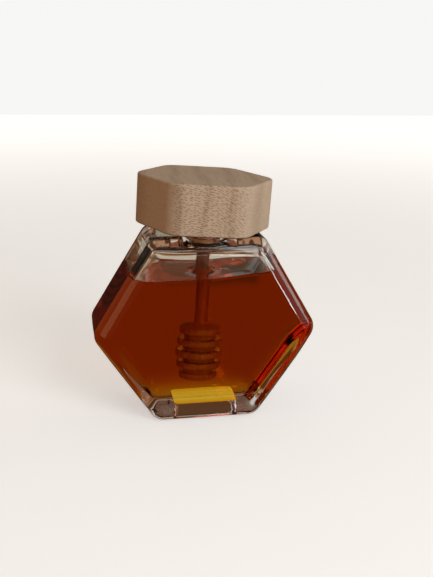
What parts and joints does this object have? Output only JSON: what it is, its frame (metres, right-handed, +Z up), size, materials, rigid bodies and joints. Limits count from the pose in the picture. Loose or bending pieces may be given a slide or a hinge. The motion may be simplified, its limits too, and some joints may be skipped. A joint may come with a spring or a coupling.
{
  "type": "honey jar",
  "caption": "Flat hexagonal clear glass jar of amber honey, shut by a hexagonal wooden lid block on a cork, with a grooved wooden dipper hanging in the honey.",
  "frame": {"origin": "middle of the jar's foot, on the surface it stands on", "axes": "+Z up, X from tip to tip of the six-sided body, Y through its thickness with the front at -Y"},
  "size_m": [0.1, 0.0556, 0.1111],
  "materials": {
    "glass": "clear polished moulded glass with soft edges",
    "honey": "clear dark amber honey with a wet surface",
    "cork": "brown cork with dark pits, matt",
    "lid_wood": "pale fine-grained hardwood, sanded and unvarnished",
    "dipper_wood": "turned hardwood, wet with honey below the level"
  },
  "bodies": {
    "root": {"glass_jar": "glass", "honey": "honey", "stopper": "cork", "lid": "lid_wood", "dipper": "dipper_wood"}
  },
  "joints": []
}
